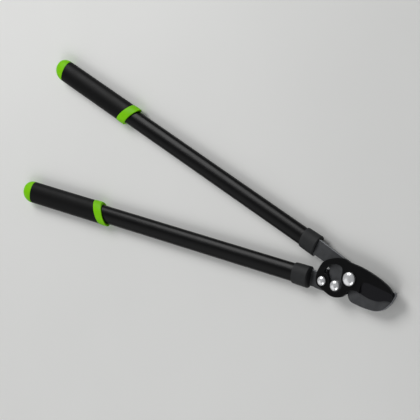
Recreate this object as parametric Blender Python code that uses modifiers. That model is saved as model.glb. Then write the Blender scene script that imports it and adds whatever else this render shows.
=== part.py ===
"""Bypass loppers with a compound lever head, lying flat and closed.

Origin: centre of the pivot bolt's lower end, which is one of the three points the tool rests on.
+X runs along the middle of the tool to the blade's tip, +Y towards the upper handle, +Z up the
pivot axis. The upper handle, the hook and both fixed bolts are one frame. The lower handle turns
on the fulcrum bolt, and its slot drives the pin in the blade's tail, so the blade turns on the
pivot bolt at a little under half the handle's angle.
"""

import bpy
import bmesh
from math import atan2, cos, pi, radians, sin, sqrt
from mathutils import Matrix, Vector

MM = 0.001

# ---- arms: two straight handles whose axes cross ahead of the pivot ----
CROSS_X = 84.4 * MM
CROSS_Y = -3.2 * MM
ARM_ANGLE = radians(8.2)
COLLAR_NEAR = 154.1 * MM  # distance from the crossing point to the collar's head end
COLLAR_LENGTH = 25.0 * MM
TUBE_SHOWN = 353.1 * MM  # bare tube between the collar and the trim ring
RING_LENGTH = 15.5 * MM
GRIP_LENGTH = 134.2 * MM
CAP_LENGTH = 21.0 * MM
LOWER_ADVANCE = 2.8 * MM  # the lower arm sits this much nearer the head

TUBE_HALF_WIDTH = 12.8 * MM
TUBE_HALF_THICK = 7.8 * MM
TUBE_WALL = 1.2 * MM
RING_SIDE_WALL = 3.9 * MM
RING_FACE_WALL = 2.1 * MM
GRIP_SIDE_WALL = 3.1 * MM
GRIP_FACE_WALL = 1.5 * MM
COLLAR_WALL = 2.0 * MM
COLLAR_SHOULDER = 2.0 * MM
PLUG_WALL = 0.8 * MM  # least wall of the plug beside the tang
RING_LEAN = 0.53  # how far the slanted ring runs along the arm per unit across it
COLLAR_ROUND = 2.0 * MM  # how far the collar's nose draws in from its full width
RING_ROUND = 1.4 * MM
GRIP_ROUND = 0.5 * MM
CAP_RIM = 1.5 * MM  # straight side of the cap before its dome
CAP_SPIGOT = 16.0 * MM
PLUG_LENGTH = 44.0 * MM

# ---- head: stack of three plates ----
GAP = 0.3 * MM  # between pieces that touch or slide on each other
HOOK_THICK = 4.5 * MM
BLADE_THICK = 4.0 * MM
LEVER_THICK = 4.0 * MM
SPACER_THICK = 1.0 * MM
TANG_WIDTH = 22.2 * MM
TANG_DEPTH = 62.0 * MM  # length of the neck inside collar and tube
SLOT_SPARE = 5.0 * MM  # how far a tang's slot runs past both ends of what it cuts

FULCRUM = Vector((-18.5, -17.2)) * MM
DRIVE = Vector((-39.9, -19.0)) * MM
BLADE_PER_HANDLE = 0.4545
HANDLE_TRAVEL = radians(80.0)

BLADE_REACH = 69.4 * MM
SPINE_HEIGHT = 21.4 * MM
EDGE_DEPTH = 13.4 * MM
GRIND_TOP = 6.2 * MM
GRIND_START = 19.5 * MM
EDGE_THICK = 0.8 * MM
HOOK_LEAD = 1.2 * MM  # how far the hook's tip stands out past the blade's
HOOK_DEPTH = 29.0 * MM
BLADE_OVERLAP = 3.0 * MM  # how far the closed blade's edge passes the hook's edge
PIVOT_BOSS = 13.8 * MM  # solid metal left round the pivot
WINDOW_CLEAR = 0.5 * MM  # between the fulcrum's head and the solid metal round the drive pin
WINDOW_WIDTH = 27.6 * MM  # across the window's upper end, outward from the pivot
WINDOW_RISE = 12.9 * MM  # how far the upper end bulges past the travel
WINDOW_REST = 1.0 * MM  # room outside the fulcrum's head at the lower end
WINDOW_FOOT = 1.5 * MM  # room below the fulcrum's head with the jaw closed
WINDOW_SPARE = radians(1.0)  # window left past the fulcrum when the jaw is fully open
HOOK_BOSS_RIM = 3.4 * MM  # plate left round the fulcrum's head
LEVER_BOSS_RIM = 3.2 * MM

# ---- bolts, nuts and bushes ----
PIVOT_SHANK = 5.0 * MM
PIVOT_HEAD = 9.2 * MM
PIVOT_HEAD_HEIGHT = 4.6 * MM
HEAD_DOME = 2.8 * MM  # height of a bolt head's domed top
PIVOT_NUT = 8.0 * MM  # half the distance across its flats
PIVOT_NUT_HEIGHT = 8.0 * MM
FULCRUM_SHANK = 4.0 * MM
FULCRUM_HEAD = 7.1 * MM
FULCRUM_HEAD_HEIGHT = 7.4 * MM
FULCRUM_NUT = 6.5 * MM
DRIVE_SHANK = 3.2 * MM
DRIVE_HEAD = 6.35 * MM
DRIVE_HEAD_HEIGHT = 3.8 * MM
DRIVE_NUT = 5.0 * MM
THIN_NUT_HEIGHT = 4.0 * MM
BOLT_PROUD = 0.5 * MM  # how far a bolt's end stands out of a thin nut
BUSH_WALL = 1.7 * MM
WASHER_RIM = 3.6 * MM
DRIVE_WASHER_RIM = 4.6 * MM  # wider, as it spans the lever's slot
SPACER_RIM = 5.0 * MM
WASHER_THICK = 1.0 * MM
PIVOT_WASHER_THICK = 1.5 * MM
SLOT_CLEAR = 0.3 * MM
FLOOR_CLEAR = 0.3 * MM  # between the thin bolts' ends and the floor

CREASE = radians(35)
OVAL_SIDES = 40
ROUND_SIDES = 32
BOW_STEPS = 4

# half sizes of the ovals that fit over the tube, and the hook's reach past the blade's
BORE_HALF_WIDTH = TUBE_HALF_WIDTH + GAP
BORE_HALF_THICK = TUBE_HALF_THICK + GAP
RING_HALF_WIDTH = BORE_HALF_WIDTH + RING_SIDE_WALL
RING_HALF_THICK = BORE_HALF_THICK + RING_FACE_WALL
GRIP_HALF_WIDTH = BORE_HALF_WIDTH + GRIP_SIDE_WALL
GRIP_HALF_THICK = BORE_HALF_THICK + GRIP_FACE_WALL
HOOK_REACH = BLADE_REACH + HOOK_LEAD
DRIVE_BOSS = DRIVE.length - FULCRUM.length - FULCRUM_HEAD - WINDOW_CLEAR

# heights above the floor; the arms' axis clears the deeper of the rings and the lever's bolts
LEVER_STACK = SPACER_THICK / 2 + LEVER_THICK + WASHER_THICK + THIN_NUT_HEIGHT + 3 * GAP
AXIS_Z = max(RING_HALF_THICK, LEVER_STACK + BOLT_PROUD + FLOOR_CLEAR)
HOOK_BASE = AXIS_Z + SPACER_THICK / 2 + GAP
HOOK_TOP = HOOK_BASE + HOOK_THICK
BLADE_BASE = HOOK_TOP + GAP
BLADE_TOP = BLADE_BASE + BLADE_THICK
LEVER_TOP = AXIS_Z - SPACER_THICK / 2 - GAP
LEVER_BASE = LEVER_TOP - LEVER_THICK

# places along an arm, from the crossing point towards the grip
COLLAR_FAR = COLLAR_NEAR + COLLAR_LENGTH
RING_NEAR = COLLAR_FAR + TUBE_SHOWN
RING_FAR = RING_NEAR + RING_LENGTH
GRIP_FAR = RING_FAR + GRIP_LENGTH
ARM_END = GRIP_FAR + CAP_LENGTH
TUBE_NEAR = COLLAR_NEAR + COLLAR_SHOULDER * 2


# ---------------------------------------------------------------- helpers

def clear_scene():
    for obj in list(bpy.data.objects):
        bpy.data.objects.remove(obj, do_unlink=True)


def new_collection(name):
    group = bpy.data.collections.new(name)
    bpy.context.scene.collection.children.link(group)
    return group


def material(name, colour, roughness, metallic):
    mat = bpy.data.materials.new(name)
    mat.use_nodes = True
    shader = mat.node_tree.nodes["Principled BSDF"]
    shader.inputs["Base Color"].default_value = (*colour, 1.0)
    shader.inputs["Roughness"].default_value = roughness
    shader.inputs["Metallic"].default_value = metallic
    return mat


def empty(name, place, turn=0.0, parent=None):
    axis = bpy.data.objects.new(name, None)
    axis.matrix_world = Matrix.Translation(place) @ Matrix.Rotation(turn, 4, "Z")
    PARTS.objects.link(axis)
    if parent:
        axis.parent = parent
        axis.matrix_parent_inverse = parent.matrix_world.inverted()
    return axis


def add_object(name, mesh, mat, parent, place=(0, 0, 0), group=None):
    """A named object whose place is given in its parent's frame."""
    obj = bpy.data.objects.new(name, mesh)
    (group or PARTS).objects.link(obj)
    if mat:
        mesh.materials.append(mat)
    obj.parent = parent
    obj.location = place
    return obj


def arc(centre, radius, start, end, steps):
    """Points on a circle from one angle to another, both included."""
    return [
        (
            centre[0] + radius * cos(start + (end - start) * k / steps),
            centre[1] + radius * sin(start + (end - start) * k / steps),
        )
        for k in range(steps + 1)
    ]


def bow(points, steps=BOW_STEPS):
    """A smooth open curve through the points (Catmull-Rom), ends included."""
    pts = [Vector(p) for p in points]
    pts = [2 * pts[0] - pts[1], *pts, 2 * pts[-1] - pts[-2]]
    out = []
    for a, b, c, d in zip(pts, pts[1:], pts[2:], pts[3:]):
        for k in range(steps):
            t = k / steps
            out.append(
                0.5 * (2 * b + (c - a) * t + (2 * a - 5 * b + 4 * c - d) * t * t
                       + (3 * b - a - 3 * c + d) * t ** 3)
            )
    out.append(pts[-2])
    return [tuple(p) for p in out]


def circle(centre, radius, sides=ROUND_SIDES):
    return arc(centre, radius, 0.0, 2 * pi, sides)[:-1]


def polygon(centre, flat_radius, sides):
    return circle(centre, flat_radius / cos(pi / sides), sides)


def smoothed(mesh):
    """Round faces shade smooth, and edges sharper than the crease angle stay crisp."""
    mesh.shade_smooth()
    mesh.set_sharp_from_angle(angle=CREASE)
    return mesh


def plate_mesh(name, loops, low, high):
    """A flat plate between two heights: the first loop is its outline, the others are holes."""
    curve = bpy.data.curves.new(name, "CURVE")
    curve.dimensions = "2D"
    curve.fill_mode = "BOTH"
    curve.extrude = (high - low) / 2
    for loop in loops:
        spline = curve.splines.new("POLY")
        spline.points.add(len(loop) - 1)
        for point, (x, y) in zip(spline.points, loop):
            point.co = (x, y, 0.0, 1.0)
        spline.use_cyclic_u = True
    obj = bpy.data.objects.new(name, curve)
    bpy.context.scene.collection.objects.link(obj)
    depsgraph = bpy.context.evaluated_depsgraph_get()
    mesh = bpy.data.meshes.new_from_object(obj.evaluated_get(depsgraph))
    bpy.data.objects.remove(obj)
    bpy.data.curves.remove(curve)
    mesh.transform(Matrix.Translation((0, 0, (low + high) / 2)))
    bm = bmesh.new()
    bm.from_mesh(mesh)
    bmesh.ops.remove_doubles(bm, verts=bm.verts, dist=0.00001)
    bmesh.ops.recalc_face_normals(bm, faces=bm.faces)
    bm.to_mesh(mesh)
    bm.free()
    mesh.name = name
    return smoothed(mesh)


def plate(name, loops, low, high, mat, parent):
    """A plate whose outline is given from the parent's origin, at heights above the floor."""
    return add_object(name, plate_mesh(name, loops, low, high), mat, parent, (0, 0, 0))


def turned(name, profile, mat, parent, centre):
    """A round piece: the profile of (radius, height) runs down its outer side."""
    mesh = bpy.data.meshes.new(name)
    verts = [(radius, 0.0, height) for radius, height in profile]
    edges = [(k, k + 1) for k in range(len(profile) - 1)]
    mesh.from_pydata(verts, edges, [])
    obj = add_object(name, mesh, mat, parent, (centre[0], centre[1], 0.0))
    screw = obj.modifiers.new("turn", "SCREW")
    screw.axis = "Z"
    screw.angle = 2 * pi
    screw.steps = ROUND_SIDES
    screw.render_steps = ROUND_SIDES
    screw.use_merge_vertices = True
    screw.merge_threshold = 0.00001
    depsgraph = bpy.context.evaluated_depsgraph_get()
    obj.data = smoothed(bpy.data.meshes.new_from_object(obj.evaluated_get(depsgraph)))
    obj.modifiers.clear()
    return obj


def oval_mesh(name, rings, hollow):
    """A loft through ovals of (station, half width, half thickness, lean).

    Each oval stands across +X, and its lean moves it along +X in proportion to Y. A hollow piece
    closes its last oval onto its first, so the list runs along the outside and back inside.
    """
    bm = bmesh.new()
    loops = []
    for station, half_width, half_thick, lean in rings:
        loop = []
        for k in range(OVAL_SIDES):
            angle = 2 * pi * k / OVAL_SIDES
            across = half_width * cos(angle)
            loop.append(bm.verts.new((station + lean * across, across, half_thick * sin(angle))))
        loops.append(loop)
    following = loops[1:] + ([loops[0]] if hollow else [])
    for near, far in zip(loops, following):
        for k in range(OVAL_SIDES):
            bm.faces.new((near[k], near[k - 1], far[k - 1], far[k]))
    if not hollow:
        bm.faces.new(loops[0])
        bm.faces.new(loops[-1])
    bmesh.ops.recalc_face_normals(bm, faces=bm.faces)
    mesh = bpy.data.meshes.new(name)
    bm.to_mesh(mesh)
    bm.free()
    return mesh


def oval(name, rings, mat, parent, hollow=False):
    return add_object(name, smoothed(oval_mesh(name, rings, hollow)), mat, parent)


def cut(obj, cutter_mesh, label):
    """Cut the mesh out of the object. The cutter is in the object's own frame."""
    tool = add_object(obj.name + "_" + label, cutter_mesh, None, obj.parent, obj.location, CUTTERS)
    tool.hide_render = True
    tool.display_type = "WIRE"
    boolean = obj.modifiers.new(label, "BOOLEAN")
    boolean.operation = "DIFFERENCE"
    boolean.solver = "EXACT"
    boolean.object = tool
    return tool


def box_mesh(name, low, high):
    bm = bmesh.new()
    bmesh.ops.create_cube(bm, size=1.0)
    size = [b - a for a, b in zip(low, high)]
    middle = [(a + b) / 2 for a, b in zip(low, high)]
    bmesh.ops.scale(bm, vec=size, verts=bm.verts)
    bmesh.ops.translate(bm, vec=middle, verts=bm.verts)
    mesh = bpy.data.meshes.new(name)
    bm.to_mesh(mesh)
    bm.free()
    return mesh


def arm_point(side, station, across):
    """Head-frame place of a point on an arm: side is +1 for the upper arm, -1 for the lower.

    Across is measured from the arm's axis, positive towards +Y.
    """
    along = Vector((-cos(ARM_ANGLE), side * sin(ARM_ANGLE)))
    outward = Vector((side * sin(ARM_ANGLE), cos(ARM_ANGLE)))
    if side < 0:
        station = station - LOWER_ADVANCE
    point = Vector((CROSS_X, CROSS_Y)) + along * station + outward * across
    return (point.x, point.y)


def shifted(loop, origin):
    return [(x - origin[0], y - origin[1]) for x, y in loop]


# ---------------------------------------------------------------- head plates

def tang_heights(side):
    """Lowest and highest faces of an arm's steel plate."""
    return (HOOK_BASE, HOOK_TOP) if side > 0 else (LEVER_BASE, LEVER_TOP)


def neck_half_width(side):
    """The widest neck that still leaves the plug a wall round it inside the oval tube."""
    low, high = tang_heights(side)
    offset = max(abs(low - AXIS_Z), abs(high - AXIS_Z)) + GAP
    plug_width = TUBE_HALF_WIDTH - TUBE_WALL - GAP
    plug_thick = TUBE_HALF_THICK - TUBE_WALL - GAP
    return plug_width * sqrt(1 - (offset / plug_thick) ** 2) - PLUG_WALL - GAP


def tang_points(side):
    """The tang's neck, from the far side round to the near one, counter-clockwise."""
    near = COLLAR_NEAR - GAP
    end = near + TANG_DEPTH
    half = TANG_WIDTH / 2
    neck = neck_half_width(side)
    return [
        arm_point(side, near, half),
        arm_point(side, near, neck),
        arm_point(side, end, neck),
        arm_point(side, end, -neck),
        arm_point(side, near, -neck),
        arm_point(side, near, -half),
    ]


def hook_outline():
    reach = HOOK_REACH
    depth = HOOK_DEPTH
    edge = BLADE_OVERLAP - EDGE_DEPTH
    fulcrum_angle = atan2(FULCRUM.y, FULCRUM.x)
    fulcrum_boss = FULCRUM_HEAD + HOOK_BOSS_RIM
    inner = bow([
        (reach - 4.6 * MM, 8.4 * MM),
        (0.87 * reach, 0.5 * MM),
        (0.75 * reach, 0.55 * edge),
        (0.55 * reach, edge),
        (0.36 * reach, 0.85 * edge),
        (PIVOT_SHANK + 13.0 * MM, 0.15 * edge),
        (PIVOT_SHANK + 10.5 * MM, 8.5 * MM),
        (6.0 * MM, PIVOT_SHANK + 12.0 * MM),
        (-9.0 * MM, SPINE_HEIGHT - 2.2 * MM),
    ])
    belly = bow([
        arm_point(1, COLLAR_NEAR - 20.8 * MM, -TANG_WIDTH / 2),
        (-43.5 * MM, 2.8 * MM),
        (-39.2 * MM, 1.1 * MM),
        (-36.4 * MM, -1.8 * MM),
        (-35.2 * MM, -6.2 * MM),
        (-32.0 * MM, -11.0 * MM),
        (FULCRUM.x - fulcrum_boss, FULCRUM.y + 1.5 * MM),
    ])
    boss = arc(FULCRUM, fulcrum_boss, pi, fulcrum_angle + 2 * pi + radians(60), 10)
    lobe = bow([
        (1.0 * MM, -19.4 * MM),
        (2.6 * MM, -23.2 * MM),
        (8.7 * MM, -28.3 * MM),
        (0.28 * reach, -depth),
        (0.50 * reach, 0.965 * -depth),
        (0.71 * reach, 0.86 * -depth),
        (0.86 * reach, 0.62 * -depth),
        (0.965 * reach, 0.20 * -depth),
        (reach, 4.0 * MM),
    ])
    tip = arc((reach - 2.3 * MM, 6.6 * MM), 2.4 * MM, radians(10), radians(125), 5)
    return inner + tang_points(1) + belly + boss[1:] + lobe + tip


def blade_outline():
    reach = BLADE_REACH
    spine = bow([
        (reach - 0.4 * MM, 3.5 * MM),
        (0.945 * reach, 9.8 * MM),
        (0.80 * reach, 0.69 * SPINE_HEIGHT),
        (0.53 * reach, 0.89 * SPINE_HEIGHT),
        (0.19 * reach, SPINE_HEIGHT),
        (-0.09 * reach, 0.975 * SPINE_HEIGHT),
        (-18.6 * MM, 22.0 * MM),
        (-33.5 * MM, 16.5 * MM),
        (DRIVE.x - 6.8 * MM, DRIVE.y + 25.2 * MM),
        (DRIVE.x - 11.4 * MM, DRIVE.y + 12.5 * MM),
        (DRIVE.x - 11.2 * MM, DRIVE.y + 0.5 * MM),
        (DRIVE.x - 6.5 * MM, DRIVE.y - 7.5 * MM),
        (-32.5 * MM, -30.6 * MM),
        (-18.6 * MM, -32.7 * MM),
        (-6.0 * MM, -28.7 * MM),
        (1.6 * MM, -21.0 * MM),
    ])
    heel = bow([
        (2.2 * MM, -17.6 * MM),
        (6.8 * MM, -13.6 * MM),
        (0.22 * reach, 0.81 * -EDGE_DEPTH),
    ])
    edge = bow([
        (0.235 * reach, 0.82 * -EDGE_DEPTH),
        (0.34 * reach, 0.93 * -EDGE_DEPTH),
        (0.50 * reach, -EDGE_DEPTH),
        (0.69 * reach, 0.86 * -EDGE_DEPTH),
        (0.86 * reach, 0.47 * -EDGE_DEPTH),
        (0.95 * reach, 0.33 * -EDGE_DEPTH),
        (0.99 * reach, 0.36 * -EDGE_DEPTH),
    ])
    return spine + heel + edge


def window_outline():
    """The blade's kidney window: it lets the fixed fulcrum bolt through as the blade turns."""
    drive_radius = DRIVE.length
    start = atan2(FULCRUM.y, FULCRUM.x) % (2 * pi)
    drive_angle = atan2(DRIVE.y, DRIVE.x) % (2 * pi)
    travel = BLADE_PER_HANDLE * HANDLE_TRAVEL
    end = start - travel - WINDOW_SPARE
    low_outer = FULCRUM.length + FULCRUM_HEAD + WINDOW_REST
    high_outer = PIVOT_BOSS + WINDOW_WIDTH
    inner = arc((0, 0), PIVOT_BOSS, end, start, 10)
    middle = (low_outer + PIVOT_BOSS) / 2
    bottom = []
    for k in range(15):
        turn = pi - pi * k / 14
        radial = middle + (low_outer - PIVOT_BOSS) / 2 * cos(turn)
        back = (FULCRUM_HEAD + WINDOW_FOOT) * sin(turn)
        bottom.append((radial * cos(start) - back * sin(start), radial * sin(start) + back * cos(start)))
    outer = []
    steps = 14
    for k in range(1, steps):
        angle = start + (end - start) * k / steps
        swing = angle - drive_angle
        limit = low_outer if swing > 0 else high_outer
        sideways = drive_radius * sin(swing)
        if abs(sideways) < DRIVE_BOSS:
            boss = drive_radius * cos(swing) - sqrt(DRIVE_BOSS ** 2 - sideways ** 2)
            limit = min(limit, boss)
        outer.append((limit * cos(angle), limit * sin(angle)))
    crown = bow([
        (1.0, 0.0), (0.967, 0.20), (0.862, 0.535), (0.652, 0.845), (0.417, 0.977), (0.196, 0.969),
        (0.054, 0.79), (0.0, 0.42), (0.0, 0.0),
    ], 3)
    top = []
    for across, along in crown:
        radial = PIVOT_BOSS + across * WINDOW_WIDTH
        ahead = along * WINDOW_RISE
        top.append((
            radial * cos(end) + ahead * sin(end),
            radial * sin(end) - ahead * cos(end),
        ))
    return inner[1:-1] + bottom + outer + top


def lever_outline():
    """The lower lever's plate, with its round end on the fulcrum, in the head's frame."""
    boss = FULCRUM_HEAD + LEVER_BOSS_RIM
    top = bow([
        (FULCRUM.x - 2.0 * MM, FULCRUM.y + boss),
        (-28.5 * MM, -4.2 * MM),
        (-36.0 * MM, -2.4 * MM),
        (-42.0 * MM, -3.2 * MM),
        (-48.0 * MM, -5.4 * MM),
        (-53.0 * MM, -9.2 * MM),
        (-57.5 * MM, -13.4 * MM),
    ])
    bottom = bow([
        arm_point(-1, COLLAR_NEAR - 7.8 * MM, -TANG_WIDTH / 2),
        (-52.0 * MM, -35.0 * MM),
        (-40.0 * MM, -33.8 * MM),
        (-29.0 * MM, -31.0 * MM),
        (FULCRUM.x - 3.0 * MM, FULCRUM.y - boss),
    ])
    end = arc(FULCRUM, boss, radians(-95), radians(95), 14)
    return top + tang_points(-1) + bottom + end


def slot_outline():
    """The lever's slot: the drive pin's path, seen from the turning lever, plus its clearance."""
    path = []
    steps = 16
    for k in range(steps + 1):
        handle = HANDLE_TRAVEL * k / steps
        pin = Matrix.Rotation(BLADE_PER_HANDLE * handle, 2) @ DRIVE
        path.append(Matrix.Rotation(-handle, 2) @ (pin - FULCRUM))
    outward = (DRIVE - FULCRUM).normalized()
    sideways = Vector((-outward.y, outward.x))
    along = [p.dot(outward) for p in path]
    off = [p.dot(sideways) for p in path]
    middle = (max(off) + min(off)) / 2
    radius = DRIVE_SHANK + GAP + BUSH_WALL + (max(off) - min(off)) / 2 + SLOT_CLEAR
    near = FULCRUM + outward * min(along) + sideways * middle
    far = FULCRUM + outward * max(along) + sideways * middle
    turn = atan2(outward.y, outward.x)
    return arc(far, radius, turn - pi / 2, turn + pi / 2, 12) + arc(
        near, radius, turn + pi / 2, turn + 3 * pi / 2, 12)


def grind_cutter():
    """A wedge that thins the blade from the grind's top line down to the cutting edge."""
    drop = BLADE_THICK - EDGE_THICK
    width = GRIND_TOP + EDGE_DEPTH
    slope = atan2(drop, width)
    reach = BLADE_REACH + 10.0 * MM
    below = -EDGE_DEPTH - 12.0 * MM
    loop = bow([
        (reach, GRIND_TOP),
        (0.62 * BLADE_REACH, GRIND_TOP),
        (GRIND_START + 5.0 * MM, GRIND_TOP - 1.0 * MM),
        (GRIND_START, GRIND_TOP - 6.0 * MM),
        (GRIND_START - 0.5 * MM, -4.0 * MM),
        (GRIND_START + 0.5 * MM, -9.0 * MM),
    ]) + [(GRIND_START + 0.5 * MM, below), (reach, below)]
    mesh = plate_mesh("grind", [loop], 0.0, 12.0 * MM)
    hinge = Matrix.Translation((0, GRIND_TOP, BLADE_TOP))
    mesh.transform(hinge @ Matrix.Rotation(slope, 4, "X") @ Matrix.Translation((0, -GRIND_TOP, 0)))
    return mesh


# ---------------------------------------------------------------- fasteners

def domed_bolt(name, centre, shank, head, head_height, seat, end, mat, parent):
    """A bolt with a smooth low-domed head that sits on a face at the seat's height."""
    base = seat + GAP
    rim = head_height - HEAD_DOME
    profile = [(0.0, base + head_height)]
    steps = 6
    for k in range(1, steps + 1):
        turn = (pi / 2) * k / steps
        profile.append((head * sin(turn), base + rim + HEAD_DOME * cos(turn)))
    profile += [(head, base), (shank, base), (shank, end), (0.0, end)]
    return turned(name, profile, mat, parent, centre)


def washer(name, centre, bore, rim, low, high, mat, parent):
    return plate(name, [circle(centre, rim), circle(centre, bore)], low, high, mat, parent)


def nut(name, centre, bore, half_flats, low, high, mat, parent):
    return plate(name, [polygon(centre, half_flats, 6), circle(centre, bore)], low, high, mat, parent)


# ---------------------------------------------------------------- the arms

def build_arm(prefix, side, frame):
    """Collar, tube, plug, ring, grip and cap on one arm. Outward is the side away from the other
    arm, and each slanted end lies nearer the head there."""
    lean = side * RING_LEAN
    bore_w = BORE_HALF_WIDTH
    bore_t = BORE_HALF_THICK
    inner_w = TUBE_HALF_WIDTH - TUBE_WALL
    inner_t = TUBE_HALF_THICK - TUBE_WALL

    oval(prefix + "_tube", [
        (TUBE_NEAR, TUBE_HALF_WIDTH, TUBE_HALF_THICK, 0),
        (GRIP_FAR, TUBE_HALF_WIDTH, TUBE_HALF_THICK, 0),
        (GRIP_FAR, inner_w, inner_t, 0),
        (TUBE_NEAR, inner_w, inner_t, 0),
    ], MATERIALS["tube"], frame, hollow=True)

    # neck of the steel tang, in the arm's frame, with its clearance
    tang_low, tang_high = tang_heights(side)
    neck = neck_half_width(side) + GAP
    slot_low = (COLLAR_NEAR - SLOT_SPARE, -neck, tang_low - AXIS_Z - GAP)
    slot_high = (COLLAR_NEAR + TANG_DEPTH + SLOT_SPARE, neck, tang_high - AXIS_Z + GAP)

    outer_w = bore_w + COLLAR_WALL
    outer_t = bore_t + COLLAR_WALL
    collar = oval(prefix + "_collar", [
        (COLLAR_NEAR, outer_w - COLLAR_ROUND, outer_t - 0.8 * COLLAR_ROUND, 0),
        (COLLAR_NEAR + 0.55 * COLLAR_SHOULDER, outer_w - 0.47 * COLLAR_ROUND,
         outer_t - 0.4 * COLLAR_ROUND, 0),
        (COLLAR_NEAR + COLLAR_SHOULDER, outer_w - 0.05 * COLLAR_ROUND, outer_t - 0.05 * COLLAR_ROUND, 0),
        (COLLAR_NEAR + 1.4 * COLLAR_SHOULDER, outer_w, outer_t, 0),
        (COLLAR_FAR - 0.6 * COLLAR_SHOULDER, outer_w - 0.2 * COLLAR_WALL, outer_t - 0.2 * COLLAR_WALL, 0),
        (COLLAR_FAR, outer_w - 0.6 * COLLAR_WALL, outer_t - 0.6 * COLLAR_WALL, 0),
        (COLLAR_FAR, bore_w, bore_t, 0),
        (TUBE_NEAR - GAP, bore_w, bore_t, 0),
    ], MATERIALS["collar"], frame)
    cut(collar, box_mesh("collar_slot", slot_low, slot_high), "tang_slot")

    plug = oval(prefix + "_tang_plug", [
        (TUBE_NEAR, inner_w - GAP, inner_t - GAP, 0),
        (TUBE_NEAR + PLUG_LENGTH, inner_w - GAP, inner_t - GAP, 0),
    ], MATERIALS["plug"], frame)
    cut(plug, box_mesh("plug_slot", slot_low, slot_high), "tang_slot")

    oval(prefix + "_grip_ring", [
        (RING_NEAR, RING_HALF_WIDTH - RING_ROUND, RING_HALF_THICK - RING_ROUND, lean),
        (RING_NEAR + 0.07 * RING_LENGTH, RING_HALF_WIDTH - 0.3 * RING_ROUND,
         RING_HALF_THICK - 0.3 * RING_ROUND, lean),
        (RING_NEAR + 0.27 * RING_LENGTH, RING_HALF_WIDTH, RING_HALF_THICK, lean),
        (RING_FAR - 0.18 * RING_LENGTH, RING_HALF_WIDTH, RING_HALF_THICK, lean),
        (RING_FAR - 0.05 * RING_LENGTH, RING_HALF_WIDTH - 0.2 * RING_ROUND,
         RING_HALF_THICK - 0.2 * RING_ROUND, lean),
        (RING_FAR, RING_HALF_WIDTH - 0.65 * RING_ROUND, RING_HALF_THICK - 0.65 * RING_ROUND, lean),
        (RING_FAR, bore_w, bore_t, lean),
        (RING_NEAR, bore_w, bore_t, lean),
    ], MATERIALS["lime"], frame, hollow=True)

    grip_near = RING_FAR + GAP * sqrt(1 + RING_LEAN ** 2)
    oval(prefix + "_grip", [
        (grip_near, GRIP_HALF_WIDTH - GRIP_ROUND, GRIP_HALF_THICK - GRIP_ROUND, lean),
        (grip_near + 2 * GRIP_ROUND, GRIP_HALF_WIDTH, GRIP_HALF_THICK, lean),
        (GRIP_FAR - 3 * GRIP_ROUND, GRIP_HALF_WIDTH, GRIP_HALF_THICK, 0),
        (GRIP_FAR, GRIP_HALF_WIDTH - GRIP_ROUND, GRIP_HALF_THICK - GRIP_ROUND, 0),
        (GRIP_FAR, bore_w, bore_t, 0),
        (grip_near, bore_w, bore_t, lean),
    ], MATERIALS["grip"], frame, hollow=True)

    spigot_w = inner_w - GAP
    spigot_t = inner_t - GAP
    dome_start = GRIP_FAR + GAP + CAP_RIM
    dome = []
    steps = 7
    for k in range(steps):
        turn = (pi / 2) * k / steps
        shrink = cos(turn) ** 0.9
        dome.append((
            dome_start + (ARM_END - dome_start) * sin(turn),
            GRIP_HALF_WIDTH * shrink,
            GRIP_HALF_THICK * shrink,
            0,
        ))
    dome.append((ARM_END, 0.12 * GRIP_HALF_WIDTH, 0.12 * GRIP_HALF_THICK, 0))
    oval(prefix + "_end_cap", [
        (GRIP_FAR - CAP_SPIGOT, spigot_w - GRIP_ROUND, spigot_t - GRIP_ROUND, 0),
        (GRIP_FAR - CAP_SPIGOT + 2 * GRIP_ROUND, spigot_w, spigot_t, 0),
        (GRIP_FAR + GAP, spigot_w, spigot_t, 0),
        (GRIP_FAR + GAP, GRIP_HALF_WIDTH - GRIP_ROUND, GRIP_HALF_THICK - GRIP_ROUND, 0),
    ] + dome, MATERIALS["lime"], frame)


# ---------------------------------------------------------------- the model

clear_scene()
PARTS = new_collection("bypass_loppers")
CUTTERS = new_collection("cutters")
MATERIALS = {
    "steel": material("satin_grey_steel", (0.16, 0.165, 0.17), 0.42, 0.9),
    "blade": material("black_coated_steel", (0.012, 0.012, 0.013), 0.45, 0.5),
    "chrome": material("polished_steel", (0.75, 0.76, 0.78), 0.12, 1.0),
    "zinc": material("zinc_plated_steel", (0.55, 0.56, 0.58), 0.35, 1.0),
    "bronze": material("oiled_bronze", (0.42, 0.28, 0.12), 0.4, 1.0),
    "nylon": material("black_nylon", (0.02, 0.02, 0.02), 0.55, 0.0),
    "collar": material("grey_nylon", (0.045, 0.046, 0.048), 0.5, 0.0),
    "plug": material("natural_nylon", (0.60, 0.58, 0.52), 0.55, 0.0),
    "tube": material("black_enamel", (0.008, 0.008, 0.009), 0.28, 0.1),
    "lime": material("lime_rubber", (0.30, 0.80, 0.01), 0.45, 0.0),
    "grip": material("charcoal_rubber", (0.012, 0.012, 0.013), 0.6, 0.0),
}
steel = MATERIALS["steel"]
chrome = MATERIALS["chrome"]
zinc = MATERIALS["zinc"]
pivot = Vector((0.0, 0.0))

frame_axis = empty("frame_axis", (0, 0, 0))
blade_axis = empty("blade_axis", (0, 0, 0))
handle_axis = empty("lower_handle_axis", (FULCRUM.x, FULCRUM.y, 0))
upper_arm = empty("upper_arm_axis", (CROSS_X, CROSS_Y, AXIS_Z), pi - ARM_ANGLE, frame_axis)
lower_start = arm_point(-1, 0.0, 0.0)
lower_arm = empty("lower_arm_axis", (*lower_start, AXIS_Z), pi + ARM_ANGLE, handle_axis)

# the frame: the upper handle's plate is also the hook
plate("hook_plate", [
    hook_outline(),
    circle(pivot, PIVOT_SHANK + GAP),
    circle(FULCRUM, FULCRUM_SHANK + GAP),
], HOOK_BASE, HOOK_TOP, steel, frame_axis)

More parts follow.
